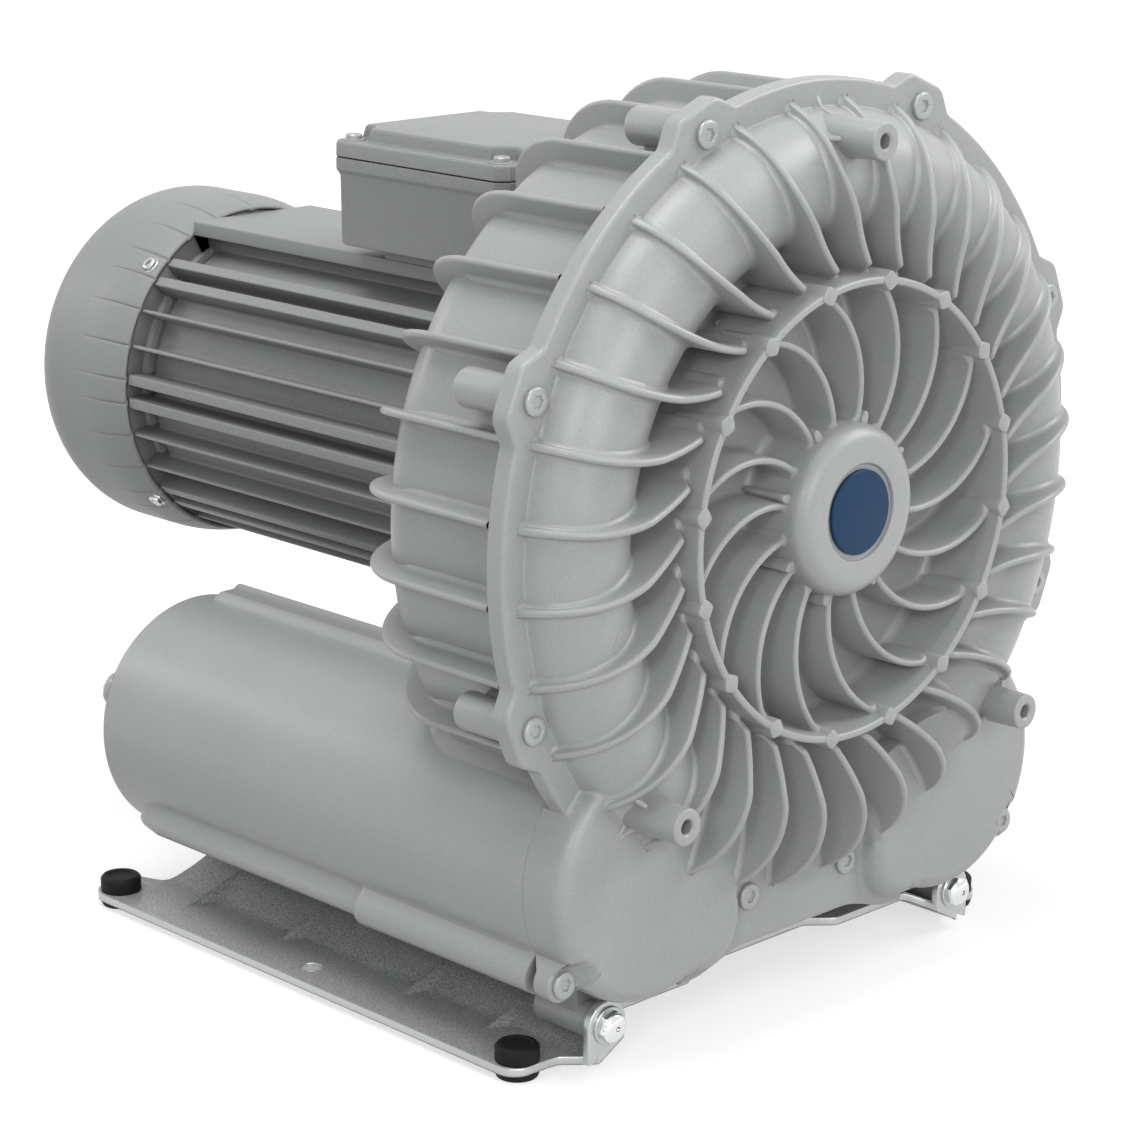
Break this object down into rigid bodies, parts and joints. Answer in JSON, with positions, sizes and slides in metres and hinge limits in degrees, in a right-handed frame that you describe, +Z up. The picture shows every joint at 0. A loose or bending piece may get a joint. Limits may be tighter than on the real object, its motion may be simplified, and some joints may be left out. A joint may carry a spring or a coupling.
{
  "type": "side channel blower",
  "caption": "Side channel blower with a ribbed round casing, two silencer drums below, a finned motor behind and a steel base on rubber feet.",
  "frame": {"origin": "centre of the whole machine's bounding box in X and Y, at the underside of the rubber feet", "axes": "+Z up, +Y along the shaft from the ribbed cover to the fan cowl, +X to the right seen from the cover"},
  "size_m": [0.38, 0.5142, 0.4334],
  "materials": {
    "grey_casting": "satin light grey paint over cast aluminium",
    "grey_sheet": "satin light grey paint over pressed steel",
    "blue_badge": "plain dark blue",
    "zinc_steel": "zinc plated",
    "bright_steel": "bright plated",
    "bearing_steel": "ground and polished",
    "wheel_aluminium": "die cast, bare",
    "lamination": "stacked sheet",
    "copper_wire": "varnished copper wire",
    "black_rubber": "matt",
    "black_plastic": "fine texture",
    "grey_plastic": "fine texture",
    "foam": "open cell foam",
    "brass": "brass",
    "base_steel": "dark zinc plated sheet"
  },
  "bodies": {
    "casing": {"front_cover": "grey_casting", "rear_housing": "grey_casting", "hub_badge": "blue_badge", "cover_screws": "zinc_steel", "shaft_seal": "black_rubber", "front_bearing_outer_ring": "bearing_steel", "rear_bearing_outer_ring": "bearing_steel", "drive_end_shield": "grey_casting", "motor_mount_screws": "zinc_steel", "rear_end_shield": "grey_casting", "tie_rods": "zinc_steel", "wave_spring": "bearing_steel", "stator_frame": "grey_casting", "stator_core": "lamination", "stator_windings": "copper_wire", "fan_cowl": "grey_sheet", "cowl_screws": "zinc_steel", "terminal_box_base": "grey_casting", "lid_gasket": "black_rubber", "terminal_box_lid": "grey_casting", "lid_screws": "zinc_steel", "terminal_block": "black_plastic", "terminal_studs": "brass", "earth_screw": "brass", "cable_gland_body": "grey_plastic", "cable_gland_locknut": "grey_plastic", "cable_gland_seal": "black_rubber", "cable_gland_nut": "grey_plastic", "blanking_plug": "grey_plastic", "inlet_foam_liner": "foam", "inlet_mesh_tube": "zinc_steel", "inlet_gasket": "black_rubber", "inlet_port_flange": "grey_casting", "outlet_foam_liner": "foam", "outlet_mesh_tube": "zinc_steel", "outlet_gasket": "black_rubber", "outlet_port_flange": "grey_casting", "port_screws": "zinc_steel", "base_plate": "base_steel", "foot_front_left": "black_rubber", "foot_front_right": "black_rubber", "foot_rear_left": "black_rubber", "foot_rear_right": "black_rubber", "base_bolts": "bright_steel", "base_washers": "bright_steel", "base_rear_screws": "zinc_steel"},
    "rotor": {"impeller": "wheel_aluminium", "impeller_key": "bearing_steel", "impeller_washer": "zinc_steel", "impeller_screw": "zinc_steel", "shaft": "bearing_steel", "front_bearing_inner_ring": "bearing_steel", "rear_bearing_inner_ring": "bearing_steel", "rotor_core": "lamination", "cooling_fan": "black_plastic", "fan_clip": "bearing_steel"},
    "front_ball_set": {"front_bearing_balls": "bearing_steel"},
    "rear_ball_set": {"rear_bearing_balls": "bearing_steel"}
  },
  "joints": [
    {"name": "rotor_spin", "type": "hinge", "parent": "casing", "child": "rotor", "pos_m": [0, -0.20265, 0.2434], "axis": [0, 1, 0], "continuous": true},
    {"name": "front_balls_roll", "type": "hinge", "parent": "casing", "child": "front_ball_set", "pos_m": [0, -0.09415, 0.2434], "axis": [0, 1, 0], "continuous": true},
    {"name": "rear_balls_roll", "type": "hinge", "parent": "casing", "child": "rear_ball_set", "pos_m": [0, 0.18085, 0.2434], "axis": [0, 1, 0], "continuous": true}
  ],
  "couplings": [
    {"joint": "front_balls_roll", "follows": "rotor_spin", "ratio": 0.3969},
    {"joint": "rear_balls_roll", "follows": "rotor_spin", "ratio": 0.3969}
  ]
}
